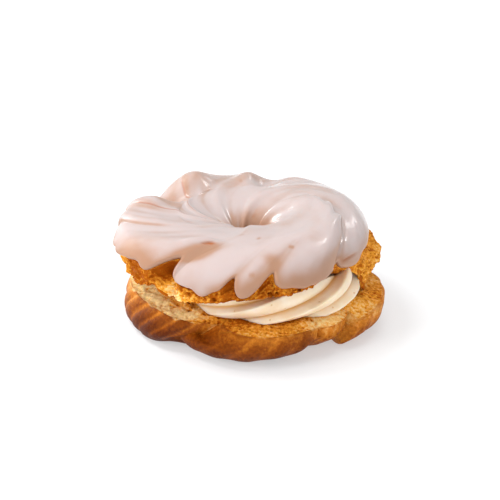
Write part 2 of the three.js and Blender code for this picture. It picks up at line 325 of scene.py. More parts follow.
# baked choux: brown crust, open golden crumb where it is cut or torn
chouxLooks = {
    "crust": [(0.1, colour(86, 34, 4)), (0.45, colour(140, 70, 11)), (0.75, colour(198, 119, 34)),
              (1, colour(230, 172, 96))],
    "crumb": [(0.08, colour(172, 88, 9)), (0.45, colour(236, 161, 52)), (0.9, colour(255, 226, 162))],
    "broad": 90, "fine": 850,  # noise scales
    "crustVaries": (0.5, 0.8), "crumbVaries": (0.8, 1.6),  # by the broad noise and by the fine one
    # pores are painted darker, as painted shade in them
    "crumbBase": 0.6, "poreShade": 0.4, "coarseDark": 0.38, "paleLight": 0.4,
    "crustRough": 0.5, "crumbRough": 0.3, "roughVaries": 0.2, "grain": 0.6, "grainDepth": 0.5 * mm,
    "shader": {"Roughness": 0.62, "Specular IOR Level": 0.12, "IOR": 1.42, "Subsurface Weight": 0.08,
               "Subsurface Scale": 1 * mm},
}


def chouxFinish(looks):
    material, shader, place = newFinish("choux", **looks["shader"])
    crumb, pit, bake = (layer(place, name) for name in ("crumb", "pit", "bake"))
    coarse, pale = (layer(place, name) for name in ("coarse", "pale"))
    broad, fine = noise(place, looks["broad"], 3), noise(place, looks["fine"], 5, 0.7)

    def varied(share, amounts):
        return share + (broad - 0.5) * amounts[0] + (fine - 0.5) * amounts[1]

    crust = varied(bake, looks["crustVaries"]).ramp(looks["crust"])
    # painted shade in the pores darkens the crumb there
    inside = looks["crumbBase"] - pit * looks["poreShade"] - coarse * looks["coarseDark"]
    inside = varied(inside + pale * looks["paleLight"], looks["crumbVaries"]).ramp(looks["crumb"])
    rough = looks["crustRough"] + crumb * looks["crumbRough"] + (fine - 0.5) * looks["roughVaries"]
    feed(shader, {"Base Color": crumb.blend(crust, inside), "Roughness": rough,
                  "Normal": relief(fine, looks["grain"], looks["grainDepth"])})
    return material


choux = chouxFinish(chouxLooks)
print("choux finish set")

# crumb relief: pores and grain on the cut and torn faces, fine wrinkles on the crust
reliefSizes = {
    "Pore Size": 1.5 * mm, "Pore Depth": 0.5 * mm, "Small Pore Size": 0.8 * mm, "Small Pore Depth": 0.3 * mm,
    "Grain Size": 2 * mm, "Grain Depth": 0.8 * mm, "Wrinkle Size": 1.5 * mm, "Wrinkle Depth": 0.2 * mm,
}


def crumbRelief(name, material):
    tree, given = growTree(name, reliefSizes)
    shape = given["Geometry"]
    place = shape.node("GeometryNodeInputPosition")
    normal = shape.node("GeometryNodeInputNormal")
    crumb, coarse = named(shape, "crumb"), named(shape, "coarse")

    def pores(size):
        away, chance = cells(place, 1 / size)
        return (1 - away.between(0.1, 0.55)) * chance.between(0.2, 0.9)

    def grains(size):
        return noise(place, 1 / size, 3) - 0.5

    large, small = pores(given["Pore Size"]), pores(given["Small Pore Size"])
    sponge = pores(given["Pore Size"] * 1.5) * coarse  # wider and deeper holes where the crumb is torn
    inside = grains(given["Grain Size"]) * given["Grain Depth"]
    inside = inside - large * given["Pore Depth"] - small * given["Small Pore Depth"]
    inside = inside * (1 + coarse) - sponge * given["Pore Depth"] * 2
    skin = grains(given["Wrinkle Size"]) * given["Wrinkle Depth"]
    aboveFoot = place.part(2).between(0.2 * mm, 1.2 * mm)  # the foot stays flat
    rise = (inside * crumb + skin * (1 - crumb)) * aboveFoot
    offset = normal.node("ShaderNodeVectorMath", {"operation": "SCALE"}, {0: normal, "Scale": rise})
    # mask for the painted shade in the crumb's pores
    shape = store(shape, "pit", (large + sponge + small * 0.4) * crumb)
    shape = shape.node("GeometryNodeSetPosition", None, {"Geometry": shape, "Offset": offset})
    closeTree(tree, shape, material)
    return tree


chouxRelief = crumbRelief("crumb relief", choux)
print("crumb relief set")

# base: a rope of strands cut level
baseSizes = {
    "centre": (1.3, 0.45, 0), "cut": 13.3, "footTurn": 160,
    "pitch": 0.43, "innerRows": 16, "plateRows": 48, "outerRows": 44, "footRows": 8, "plateCrowd": 0.6,
    "oval": {"middleRadius": 26, "middleHeight": 8, "innerReach": 16.5, "outerReach": 17.6,
             "above": 13, "below": 8.6, "innerPower": 2.4, "outerPower": 2.1},
    # angles at the cut and at the foot; how far the strand stands out at its start, middle and end, each at
    # the cut and at the foot; roundness below; bake; droop of the cut edge and sag of its start; how far
    # bare crumb comes down over the edge; how pale the crumb is, with the left cut's high value partly painted
    # light
    "folds": foldRows("cut foot start middle end belly bake droop sag bare pale",
                      (195, 180, (-0.5, 5), (-2.8, 3.6), (-10, -6), 2.6, 0.2, 0, 0, -0.5, 1.2),
                      (251, 223, (-11, -1), (-0.9, 0.6), (-3.4, -3), 2, 0.33, 1, 0, -0.3, -0.5),
                      (304, 299, (-5.4, -5), (-1.6, -1.6), (-4.5, -7), 1.7, 0.54, 1.5, 0.8, -0.4, 0.35),
                      (328, 318, (-0.2, 1.6), (4.1, 1.4), (-5, -5), 1.8, 0.62, 1.6, 2.2, -0.3, -0.45),
                      (388, 374, (-3, -3), (2, 2), (-1, -1), 1.7, 0.4, 0.8, 0, -0.4, -0.15),
                      (442, 426, (-3, -3), (2, 2), (-1, -1), 2, 0.45, 0.4, 0, 0.4, 0),
                      (498, 482, (-3, -3), (2, 4.4), (-1, 5), 2, 0.4, 0.2, 0, 0.2, 0.6)),
    "strandsFrom": (28, 40), "startSharp": 5, "endSharp": 4, "passInto": (0.85, 1), "rimRun": 8,
    "ribs": 5, "ribDepth": 0.5, "ribSharp": 3, "ribBelowCut": 2.5, "ribAboveFoot": 6,
    "crustLumps": [(0.5, 6, 2)], "crumbLumps": [(0.45, 3, 5)], "edgeLumps": [(0.5, 2.2, 6)], "edgeSoft": 0.4,
    "torn": [(218, 28, 0.8)], "tornLumps": [(1.1, 5, 8), (0.7, 1.8, 9)], "tornEdgeLumps": [(0.7, 2.2, 6)],
    "bake": {"all": -0.2, "up": 0.3, "upRun": (2, 12), "ribs": 0.14, "leftRibs": 0.14, "ribSharp": 8,
             "edge": 0.1, "edgeRun": (-3.5, -0.5), "leftTip": 0.3, "tipRun": (0.8, 0.95),
             "spots": [(193, 17, 0.28)]},
    "pale": {"leftTip": -0.8, "tipRun": (0.6, 0.8), "passInto": (0.6, 1), "spots": [(334, 10, 0.4)],
             # torn crumb: painted light along its lit outer edge, painted shade further in under the lid
             "tornEdgeLit": 1.7, "tornInsideShade": -0.8, "edgeRun": 3.5,
             "shadeBesideCream": [(300, 45, -1.2)], "shadeBesideCreamRun": (29, 37)},  # painted shade beside the cream, under the lid
}


def makeBase(sizes):
    oval, folds, cut = sizes["oval"], sizes["folds"], sizes["cut"]
    strands = strandPlaces(folds, "cut", sizes["pitch"])[:, None]
    along, left = strands % 1, strands < 1
    into = fade(along, *sizes["passInto"])
    start, middle, end, sag = (foldValue(folds, strands, key)[0] for key in ("start", "middle", "end", "sag"))
    belly, bake, bare = (mix(*foldValue(folds, strands, key), into) for key in ("belly", "bake", "bare"))
    droop, nextDroop = foldValue(folds, strands, "droop")
    pale, nextPale = foldValue(folds, strands, "pale")
    rimHeight = cut - mix(droop + sag * (1 - along) ** 2, nextDroop, into)
    cutAngle = strandAngle(folds, strands, "cut", "foot", 0)
    torn = bumps(sizes["torn"], cutAngle)
    crease = np.abs(np.cos(np.pi * sizes["ribs"] * along))
    cutTurn = math.acos(((cut - oval["middleHeight"]) / oval["above"]) ** (oval["outerPower"] / 2))
    foot = math.radians(sizes["footTurn"])
    oval = dict(oval, lowerPower=belly)

    def wall(first, last, rows):
        turn = np.linspace(first, last, rows, endpoint=False)[None, :]
        radius, height, outX, outZ = ovalSection(oval, turn)
        outer = fade(radius, *sizes["strandsFrom"])
        low = outer * (1 - np.clip(height / cut, 0, 1))
        angle = strandAngle(folds, strands, "cut", "foot", low)
        begin, among, finish = (mix(stand[..., 0], stand[..., 1], low) for stand in (start, middle, end))
        push = among + (begin - among) * (1 - along) ** sizes["startSharp"]
        push = push + (finish - among) * along ** sizes["endSharp"]
        ribs = fade(cut - height, 0, sizes["ribBelowCut"]) * fade(height, 0, sizes["ribAboveFoot"])
        push = push - sizes["ribDepth"] * crease ** sizes["ribSharp"] * ribs
        push = (push + lumpRows(sizes["crustLumps"], ringPoints(radius, angle, height))) * outer
        rise = np.where((push < 0) & (outZ > 0), 0, outZ * push)  # a strand set back still reaches the cut
        return ringPoints(radius + outX * push, angle, np.clip(height + rise, 0, rimHeight))

    inner = wall(-foot, -cutTurn, sizes["innerRows"])
    outside = wall(cutTurn, foot, sizes["outerRows"])
    under = wall(foot, 2 * math.pi - foot, sizes["footRows"])
    innerRim, outerRim = wall(-cutTurn, cutTurn, 1), outside[:, :1]
    share = np.linspace(0, 1, sizes["plateRows"], endpoint=False) ** sizes["plateCrowd"]
    plate = mix(innerRim, outerRim, share[None, :, None])
    fromRim = np.linalg.norm(plate - outerRim, axis=-1)
    level = mix(rimHeight, cut, fade(fromRim, 0, sizes["rimRun"]))
    plate[..., 2] = level + lumpRows(sizes["crumbLumps"], plate) + torn * lumpRows(sizes["tornLumps"], plate)
    grid = np.concatenate([inner, plate, outside, under], 1)
    height, row = grid[..., 2], np.arange(grid.shape[1])
    plateStart, plateEnd = sizes["innerRows"], sizes["innerRows"] + sizes["plateRows"]

    # ragged line between crumb and crust
    ragged = lumpRows(sizes["edgeLumps"], grid) + torn * lumpRows(sizes["tornEdgeLumps"], grid)
    aboveLine = height - (rimHeight - bare + ragged)
    crumb = fade(aboveLine, -sizes["edgeSoft"], sizes["edgeSoft"]) * (row >= plateStart)
    crumb = np.where((row > plateStart) & (row < plateEnd), 1, crumb)

    tone = sizes["bake"]
    shade = bake + tone["all"] + tone["up"] * fade(height, *tone["upRun"]) + bumps(tone["spots"], cutAngle)
    shade = shade + (tone["ribs"] + tone["leftRibs"] * left) * crease ** tone["ribSharp"]
    shade = shade + tone["edge"] * fade(height - rimHeight, *tone["edgeRun"])
    shade = shade + tone["leftTip"] * fade(along, *tone["tipRun"]) * left

    tone = sizes["pale"]
    pale = pale + tone["leftTip"] * fade(along, *tone["tipRun"]) * left
    pale = mix(pale, nextPale, fade(along, *tone["passInto"])) + bumps(tone["spots"], cutAngle)
    # painted shade on the crumb beside the cream, under the lid
    fromMiddle = np.hypot(grid[..., 0], grid[..., 1])
    pale = pale + bumps(tone["shadeBesideCream"], cutAngle) * (1 - fade(fromMiddle, *tone["shadeBesideCreamRun"]))
    # torn crumb: painted light in a band along its lit outer edge, painted shade further in under the lid
    edge = tone["tornEdgeLit"] * bell(fromRim, tone["edgeRun"], tone["edgeRun"]) + tone["tornInsideShade"]
    pale[:, plateStart:plateEnd] += torn * edge
    return ringPiece("chouxBase", grid + np.array(sizes["centre"]),
                     crumb=crumb, bake=shade, coarse=torn * crumb, pale=pale)


chouxBase = makeBase(baseSizes)
runTree(chouxBase, chouxRelief, reliefSizes)

# lid: strands twisted round a hole that lies right of the middle, tipped up at the front and right
lidSizes = {
    "centre": (-2.9, 0.85, 22.5), "frontUp": 2.9, "rightUp": 2.6,
    "pitch": 0.56, "domeRows": 24, "wallRows": 60, "underRows": 24, "underCrowd": 1.4,
    "oval": {"middleRadius": 23.5, "middleHeight": 5, "innerReach": 16, "outerReach": 19.6,
             "above": 10.8, "below": 18, "innerPower": 2.4, "outerPower": 2.3, "lowerPower": 2.3},
    "holeRadius": 6.8, "holeShift": 3.5, "throatFlare": 1.5, "crestShift": 2,
    "swells": [(165, 14, 2), (146, 9, -5), (121, 13, 4.6), (85, 6, 2.4), (72, 8, -3), (28, 20, 0.8)],
    "swellFade": (-0.1, 0.35), "rimSwells": [(195, 14, -0.2), (171, 14, -2.8), (139, 8, -3.4), (2, 12, -1)],
    "squareShoulder": [(168, 24, 1.6), (207, 22, 1)], "softBasin": [(140, 70, -1)],
    # angles at the hole, the crest and the rim; depth; where along the section it starts and over what
    # length it grows; shape of the strand's rise; how much of the fold shows in the icing
    "folds": foldRows("hole crest rim depth start grow lift keep",
                      (210, 143, 115, 1.6, 0, 0.5, 0.8, 0.1),
                      (228, 178, 163, 1.8, -0.1, 0.4, 0.8, 0.3),
                      (258, 221, 174, 2.2, -0.25, 0.5, 0.7, 0.4),
                      (294, 276, 239, 4, 0.2, 0.45, 0.7, 0.4),
                      (384, 376, 312, 2.4, -0.6, 0.5, 0.8, 0.8),
                      (440, 410, 372, 1.6, 0.2, 0.5, 0.8, 0.1),
                      (495, 466, 425, 1.8, 0.2, 0.5, 0.8, 0)),
    "foldRise": 1.6, "foldFall": 5,
    "wave": {"fold": 4, "width": 0.15, "swing": 3.5, "count": 4, "comes": (0.1, 0.3), "goes": (0.5, 0.7)},
    "wallTuck": 0.5, "wallBend": (-0.2, 1),
    "wallShifts": [(205, 22, -4.5), (252, 18, 1), (321, 14, -8), (0, 16, -1.2)],
    "arch": [(205, 8, 0.8), (219, 8, 3.2), (227, 4, 3.8), (280, 36, 3.6), (306, 12, 1.4)],
    "hangs": [(347, 7, 7.4), (359, 12, 8.7), (212, 12, 1.6)],  # torn web at the right, ledge at the left
    "webThick": 2.8, "crags": [(1.3, 4.2, 3), (0.8, 2.1, 4)], "cragFrom": (0, 0.15),
    # angle, width, how far down the wall, depth
    "hollows": [(233, 5, 0.3, 6), (264.8, 2.6, 0.3, 2.4), (280.3, 2.6, 0.3, 2.4), (203, 6, 0.3, 2)],
    "bulges": [(6, 13, 0.62, 7.5), (18, 10, 0.3, 2.5)], "hollowTall": 0.28, "bulgeTall": 0.22,
    "bake": 0.45,
    "pale": {"spots": [(219, 18, -0.35), (193, 8, 0.6), (357, 20, 0.5)],
             "low": [(237, 8, 1.2, 0.3, 0.8), (246, 10, 0.3, 0.2, 0.6)],
             # painted shade in the wall's hollows and on the lid's underside
             "shadeInHollows": -0.7, "hollowRun": (0.3, 3), "under": -1},
}
# icing: thick over the folds, rounded at its lower edge, tan where it is thin or cracked, with painted shade in
# the hole, the grooves and on low and steep faces
icingSizes = {
    "thickness": 1.5, "pool": 0.8, "poolRun": 0.25, "gap": 0.3, "smooth": 44, "smoothFrom": (2, 6),
    "step": 1.3, "stepFold": 4, "stepRun": (3.6, 3.9),
    "edgeRound": 1, "edgeThin": 0.3, "thinFrom": (1, 7), "bead": 0.06, "beadPlace": (2, 1.8),
    "evenArc": 31, "evenShare": 0.66, "evenRows": 66, "edgeRows": 46, "edgeCrowd": 0.9, "backRows": 24,
    "columnStep": 0.42, "edgeLevel": 6.9, "uneven": [(0.5, 2.6, 12)],
    "ripples": [(195, 14, 1.4), (216, 11, 2.4), (232.5, 5, 5.6), (254, 5, -2.2), (264.8, 2.6, 2.8),
                (271.5, 4.2, -2.6), (280.3, 2.6, 2.9), (300, 11, -1.9), (315.5, 2.6, 1.8), (327, 7, -2),
                (350, 12, 1.4), (45, 10, -3), (70, 7, 1), (100, 9, -3.4), (128, 7, 1), (152, 9, -3)],
    "body": colour(191, 175, 172), "tan": colour(170, 130, 105), "crust": colour(164, 88, 32),
    "clouds": 120, "ripple": 260, "rippleDepth": 0.8 * mm,
    "shader": {"Roughness": 0.22, "IOR": 1.46, "Coat Roughness": 0.17, "Subsurface Weight": 0.45,
               "Subsurface Radius": (1, 0.62, 0.5), "Subsurface Scale": 2.2 * mm},
    # tan near the lower edge where the icing thins, its wider band also painted shade on the low faces; tan in
    # the throat where the icing thins, also painted shade in the hole
    "tanAll": 0.1, "tanEdge": [(0.5, 1.2), (0.55, 5)], "tanThroat": 0.75, "throatRun": (0.65, 0.95),
    # painted shade on steep faces
    "shadeOnSteep": 0.6, "steepRun": (-0.75, -0.1), "lessSteep": [(243, 12, 0.85)],
    "streaks": [(0.5, 1, 9)], "streakScale": (7, 2),  # closer together than they are long
    # place among the folds, width, strength, and where along the section it comes and goes; painted shade along
    # the grooves, then the brown cracks
    "shadeInFolds": [(2.97, 0.1, 1.2, (0.3, 0.6), (0.72, 0.88)), (4.02, 0.07, 0.4, (-0.6, -0.3), (0.2, 0.5)),
                 (1.95, 0.06, 0.6, (0.1, 0.3), (2, 3))],
    "cracks": [(0, 0.02, 0.6, (-0.5, -0.4), (0.4, 0.55)), (1, 0.02, 0.6, (-0.3, -0.2), (0.6, 0.75))],
    "crackDepth": 0.2,
    # angle, width, strength, and where along the section it comes
    # painted shade low on the left lobe, in tan and a little brown
    "shadeLeftLow": [(222, 20, 0.55, 0.7, 0.92)], "brownShadeLeftLow": [(213, 16, 0.05, 0.75, 0.95)],
    "tanBack": [(150, 30, 0.5, -0.3, 0.2), (82, 45, 0.4, -0.6, 0.1)], "backLess": 0.8, "backGoes": (0.45, 0.8),
    "lessTan": [(243, 10, 0.6, 0.75, 0.9), (198, 12, 0.6, 0.55, 0.8)],
    "dull": [(205, 75, 0.7, -0.3, 0.3), (290, 27, 0.9, 0, 0.4), (203, 12, 0.3, 0.5, 0.8),
             (135, 22, 0.7, 0, 0.3)],
    # place on the lid, heading, half length, half width, depth, tan, brown
    "marks": [(-10.4, -31.3, 18.2, 8, 2.2, 0.7, 0.8, 0.5, 1.4),
              (-13.4, -29.4, 18.8, 12, 5.5, 1.7, -1.1, -0.3, 0), (35.6, -27.4, 9, 55, 5.5, 0.35, 0.5, 0.5, 0.8),
              (0, 28, 18, 105, 2.2, 0.5, 0.15, 0.6, 0.35), (22.6, 26.8, 16.7, 45, 1.8, 0.5, 0.15, 0.6, 0.35),
              (0.9, -24.9, 17.6, 20, 1, 0.7, 0.1, 0.7, 0), (6.5, -27.5, 18, 60, 1.1, 0.7, 0.1, 0.7, 0),
              (7, -34.5, 19.5, 100, 1, 0.8, 0.1, 0.5, 0), (1.6, -40.4, 17.7, 30, 1.3, 0.9, 0.1, 0.7, 0),
              (21.7, -39.5, 11.3, 0, 1, 0.8, 0.1, 0.7, 0), (17.4, -35.7, 17.8, 0, 0.9, 0.7, 0.1, 0.6, 0),
              (3.9, -46, 12.7, 0, 1, 0.9, 0.1, 0.6, 0), (10.6, -41.5, 16, 130, 4, 2.4, 0, 0.45, 0),
              (25.5, -29, 17, 60, 3.4, 2.2, 0, 0.4, 0)],
}
fineTurns = np.radians(np.linspace(-90, 100, 1500))  # the plain section, to step along it by length
fineRadius, fineHeight, _, _ = ovalSection(lidSizes["oval"], fineTurns)
fineArc = np.concatenate([[0], np.cumsum(np.hypot(np.diff(fineRadius), np.diff(fineHeight)))])


def lidAngle(strands, out):  # out runs from -1 at the hole over 0 at the crest to 1 at the rim
    folds, wave = lidSizes["folds"], lidSizes["wave"]
    inner = strandAngle(folds, strands, "crest", "hole", -out)
    outer = strandAngle(folds, strands, "crest", "rim", out)
    sway = wave["swing"] * np.sin(2 * math.pi * wave["count"] * out) * window(out, wave["comes"], wave["goes"])
    return np.where(out < 0, inner, outer) + sway * bell(strands, wave["fold"], wave["width"])


def strandRise(strands, out):  # a gentle rise over one fold and a steep fall to the next
    folds, across = lidSizes["folds"], strands % 1
    depth, nextDepth = foldValue(folds, strands, "depth")
    start, nextStart = foldValue(folds, strands, "start")
    grow, nextGrow = foldValue(folds, strands, "grow")
    lift, _ = foldValue(folds, strands, "lift")
    deep = mix(depth * fade(out - start, 0, grow), nextDepth * fade(out - nextStart, 0, nextGrow), across)
    return lidSizes["foldRise"] * deep * across ** lift * (1 - across ** lidSizes["foldFall"])


def domePoint(strands, turn, lift):
    lid, oval = lidSizes, lidSizes["oval"]
    across = np.sin(turn)
    out = bend(across, 2 / np.where(across < 0, oval["innerPower"], oval["outerPower"]))
    angle = lidAngle(strands, out)
    east, north = np.cos(np.radians(angle)), np.sin(np.radians(angle))
    crest = oval["middleRadius"] + lid["crestShift"] * east
    throat = lid["holeShift"] * east + np.sqrt(lid["holeRadius"] ** 2 - (lid["holeShift"] * north) ** 2)
    local = dict(oval, middleRadius=crest, innerReach=crest - throat)
    local["above"] = oval["above"] + bumps(lid["swells"], angle) * fade(out, *lid["swellFade"])
    local["innerPower"] = oval["innerPower"] + bumps(lid["softBasin"], angle)
    local["outerPower"] = oval["outerPower"] + bumps(lid["squareShoulder"], angle)
    local["outerReach"] = oval["middleRadius"] + oval["outerReach"] + bumps(lid["rimSwells"], angle) - crest
    radius, height, outX, outZ = ovalSection(local, turn)
    push = strandRise(strands, out) + lift
    return radius + outX * push, height + outZ * push, angle, out


def coverArc(strands):  # length of each column's section from the throat to the icing's lower edge
    oval = lidSizes["oval"]
    rim = lidAngle(strands, np.ones_like(strands))
    edge = icingSizes["edgeLevel"] + bumps(icingSizes["ripples"], rim) - oval["middleHeight"]
    edge = edge + lumpRows(icingSizes["uneven"], ringPoints(40, rim, 0))
    share = edge / np.where(edge < 0, oval["below"], oval["above"])
    return np.interp(np.arccos(bend(share, oval["outerPower"] / 2)), fineTurns, fineArc)


def coverPlace(strands, shares):  # even rows over the dome, then on to the icing's edge
    even, part = icingSizes["evenArc"], icingSizes["evenShare"]
    beyond = even + (shares - part) / (1 - part) * (coverArc(strands) - even)
    return np.where(shares < part, shares / part * even, beyond)


def coverPoint(strands, shares, lift):
    return domePoint(strands, np.interp(coverPlace(strands, shares), fineArc, fineTurns), lift)


def placeLid(points):
    front, right = math.radians(-lidSizes["frontUp"]), math.radians(-lidSizes["rightUp"])
    tipFront = np.array([[1, 0, 0],
                         [0, math.cos(front), -math.sin(front)],
                         [0, math.sin(front), math.cos(front)]])
    tipRight = np.array([[math.cos(right), 0, math.sin(right)],
                         [0, 1, 0],
                         [-math.sin(right), 0, math.cos(right)]])
    return points @ (tipFront @ tipRight).T + np.array(lidSizes["centre"])


def makeLid(sizes):
    strands = strandPlaces(sizes["folds"], "crest", sizes["pitch"])[:, None]
    radius, height, angle, _ = coverPoint(strands, np.linspace(0, 1, sizes["domeRows"])[None, :], 0)
    dome = ringPoints(radius, angle, height)
    rimRadius, rimHeight, rimAngle, _ = coverPoint(strands, np.ones((1, 1)), 0)
    throatRadius, _, throatAngle, _ = coverPoint(strands, np.zeros((1, 1)), 0)
    arch = bumps(sizes["arch"], rimAngle)
    bottom = arch - bumps(sizes["hangs"], rimAngle)
    bottomRadius = rimRadius + bumps(sizes["wallShifts"], rimAngle)
    down = np.linspace(0, 1, sizes["wallRows"] + 1)[None, 1:]

    def dents(rows, tall):
        return sum(depth * bump(rimAngle, centre, width) * bell(down, level, tall)
                   for centre, width, level, depth in rows)

    wallRadius = mix(rimRadius - sizes["wallTuck"], bottomRadius, fade(down, *sizes["wallBend"]))
    wallHeight = mix(rimHeight, bottom, down)
    cave = dents(sizes["hollows"], sizes["hollowTall"])
    crag = lumpRows(sizes["crags"], ringPoints(wallRadius, rimAngle, wallHeight))
    crag = crag - cave + dents(sizes["bulges"], sizes["bulgeTall"])
    wall = ringPoints(wallRadius + crag * fade(down, *sizes["cragFrom"]), rimAngle, wallHeight)

    inward = np.linspace(0, 1, sizes["underRows"] + 2)[None, 1:-1] ** sizes["underCrowd"]
    underRadius = mix(bottomRadius, throatRadius + sizes["throatFlare"], inward)
    behind = fade(bottomRadius - underRadius, 0, sizes["webThick"])
    underHeight = mix(bottom, arch * (1 - inward), behind)
    under = ringPoints(underRadius, mix(rimAngle, throatAngle, inward), underHeight)
    grid = np.concatenate([dome, wall, under], 1)

    tone, wallStart = sizes["pale"], sizes["domeRows"]
    wallEnd = wallStart + sizes["wallRows"]
    crumb = np.arange(grid.shape[1])[None, :] >= wallStart
    pale = np.zeros(grid.shape[:2])
    pale[:, wallStart:wallEnd] = bumps(tone["spots"], rimAngle) + patches(tone["low"], rimAngle, down)
    # painted shade in the wall's hollows
    pale[:, wallStart:wallEnd] += tone["shadeInHollows"] * fade(cave, *tone["hollowRun"])
    # painted shade on the lid's underside
    pale[:, wallEnd:] = tone["under"]
    return ringPiece("chouxTop", placeLid(grid), crumb=crumb, bake=sizes["bake"], coarse=crumb, pale=pale)


chouxTop = makeLid(lidSizes)
runTree(chouxTop, chouxRelief, reliefSizes)


def icingFinish(sizes):
    material, shader, place = newFinish("icing", **sizes["shader"])
    thin, crack, wet = (layer(place, name) for name in ("thin", "crack", "wet"))
    cloud, ripple = noise(place, sizes["clouds"], 3), noise(place, sizes["ripple"], 2)
    body = (thin * 0.9 + (cloud - 0.55) * 0.5).between(0, 1).blend(sizes["body"], sizes["tan"])
    feed(shader, {"Base Color": crack.blend(body, sizes["crust"]), "Roughness": 0.52 - wet * 0.12 + cloud * 0.1,
                  "Coat Weight": wet * 0.8, "Normal": relief(ripple, 0.2, sizes["rippleDepth"])})
    return material


def makeIcing(sizes):
    folds, part = lidSizes["folds"], sizes["evenShare"]
    strands = strandPlaces(folds, "crest", lidSizes["pitch"])[:, None]
    evenShares = np.linspace(0, part, sizes["evenRows"], endpoint=False)
    edgeShares = np.linspace(part, 1, sizes["edgeRows"]) ** sizes["edgeCrowd"]
    shares = np.concatenate([evenShares, edgeShares])[None, :]
    arc = coverArc(strands)
    slant = np.hypot(1, np.gradient(arc[:, 0])[:, None] / sizes["columnStep"])  # nearer to the edge at a drip
    fromThroat = coverPlace(strands, shares)
    fromEdge = (arc - fromThroat) / slant
    fromFold = np.abs(strands - np.round(strands))

    def rounded(distance):
        return np.sqrt(1 - (1 - np.clip(distance / sizes["edgeRound"], 0, 1)) ** 2)

    body = sizes["thickness"] + sizes["pool"] * (1 - fade(fromFold, 0, sizes["poolRun"]))
    body = body + sizes["step"] * fade(strands, *sizes["stepRun"]) * (strands < sizes["stepFold"])
    body = body * (1 - sizes["edgeThin"] * (1 - fade(fromEdge, *sizes["thinFrom"])))
    body = body * (1 + sizes["bead"] * bell(fromEdge, *sizes["beadPlace"]))
    lift = sizes["gap"] + body * rounded(fromEdge) * rounded(fromThroat * 2)
    radius, height, angle, out = coverPoint(strands, shares, lift)
    outside = soft = ringPoints(radius, angle, height)
    for _ in range(sizes["smooth"]):
        soft = 0.5 * soft + 0.25 * (np.roll(soft, 1, 0) + np.roll(soft, -1, 0))
    keep, _ = foldValue(folds, strands + 0.5, "keep")
    outside = mix(outside, soft, (fade(fromEdge, *sizes["smoothFrom"]) * (1 - keep))[..., None])

    def inFolds(rows):  # marks that run along a fold
        total = 0
        for fold, width, amount, comes, goes in rows:
            apart = (strands - fold + len(folds) / 2) % len(folds) - len(folds) / 2
            total = total + amount * bell(apart, 0, width) * window(out, comes, goes)
        return total

    # tan where the icing thins at its edge and throat, and painted shade in the hole, along the grooves, on low
    # and steep faces
    thin = sizes["tanAll"] + sum(tan * np.exp(-fromEdge / run) for tan, run in sizes["tanEdge"])
    thin = thin + sizes["tanThroat"] * fade(-out, *sizes["throatRun"]) + inFolds(sizes["shadeInFolds"])
    # painted shade low on the left lobe
    thin = thin + patches(sizes["shadeLeftLow"], angle, out)
    thin = thin + patches(sizes["tanBack"], angle, out) * (1 - sizes["backLess"] * fade(out, *sizes["backGoes"]))
    across, along = sizes["streakScale"]
    streaks = np.stack(np.broadcast_arrays(strands * across, out * along, 0 * out), -1)
    thin = thin + lumpRows(sizes["streaks"], streaks)
    wet = 1 - patches(sizes["dull"], angle, out)
    # brown cracks along the folds, and a little brown as painted shade low on the left lobe
    crack = patches(sizes["brownShadeLeftLow"], angle, out) + inFolds(sizes["cracks"])
    dent = sizes["crackDepth"] * crack
    for x, y, z, heading, length, width, depth, tan, brown in sizes["marks"]:
        off, heading = outside - np.array([x, y, z]), math.radians(heading)
        ahead = off[..., 0] * math.cos(heading) + off[..., 1] * math.sin(heading)
        aside = (off ** 2).sum(-1) - ahead ** 2
        spot = np.exp(-(ahead / length) ** 4 - aside / width ** 2)
        dent, thin, crack = dent + depth * spot, thin + tan * spot, crack + brown * spot
    normal = np.cross(np.gradient(outside, axis=1), np.roll(outside, -1, 0) - np.roll(outside, 1, 0))
    normal = normal / np.linalg.norm(normal, axis=-1, keepdims=True)
    # painted shade on steep faces
    steep = fade(-normal[..., 2], *sizes["steepRun"]) * (1 - bumps(sizes["lessSteep"], angle))
    thin = (thin + sizes["shadeOnSteep"] * steep) * (1 - patches(sizes["lessTan"], angle, out))
    outside = outside - normal * dent[..., None]

    backShares = np.linspace(1, 0, sizes["backRows"] + 2)[None, 1:-1]  # the side against the lid
    radius, height, angle, _ = coverPoint(strands, backShares, sizes["gap"])
    grid = np.concatenate([outside, ringPoints(radius, angle, height)], 1)
    thin, crack, wet = (np.pad(values, ((0, 0), (0, sizes["backRows"]))) for values in (thin, crack, wet))
    piece = ringPiece("icingCoat", placeLid(grid), thin=thin, crack=crack, wet=wet)
    piece.data.materials.append(icingFinish(sizes))
    return piece


icingCoat = makeIcing(icingSizes)
print("icing poured")

# cream: a star rope laid round the base, flattened between the halves
creamSizes = {
    # Twist times Points is whole, and Steps Round is a multiple of Points, so that the rope's ends meet
    "rope": {"Ring Radius": 24.5 * mm, "Reach": 11.5 * mm, "Rise": 9.5 * mm, "Middle Height": 20 * mm,
             "Twist": 10 / 7, "Points": 7, "Ridge": 0.24, "Cut Height": 13.6 * mm, "Steps Round": 238,
             "Steps Along": 395},
    "sharpRun": 0.16, "fallPower": 0.6, "peak": 1.6, "ragged": 0.07, "raggedScale": 300,
    "reach": [(324, 32, 3.4), (215, 40, -6.5), (355, 12, -6.2), (14, 20, -5)],
    "crown": (324, 26, 7), "crownFrom": (33 * mm, 37 * mm),  # the rope swells up beside the lid
    "underLid": 0.6, "softBelow": 0.4 * mm, "softAbove": 0.6 * mm,
    # the crease colour is painted shade in the piped creases and bubble pits
    "body": colour(240, 219, 186), "light": colour(248, 235, 214), "crease": colour(230, 186, 122),
    "clouds": 150, "bubbles": 420, "bubbleDepth": 0.4 * mm,
    "shader": {"Roughness": 0.45, "IOR": 1.45, "Subsurface Weight": 0.4, "Subsurface Radius": (1, 0.7, 0.35),
               "Subsurface Scale": 1.5 * mm},
}


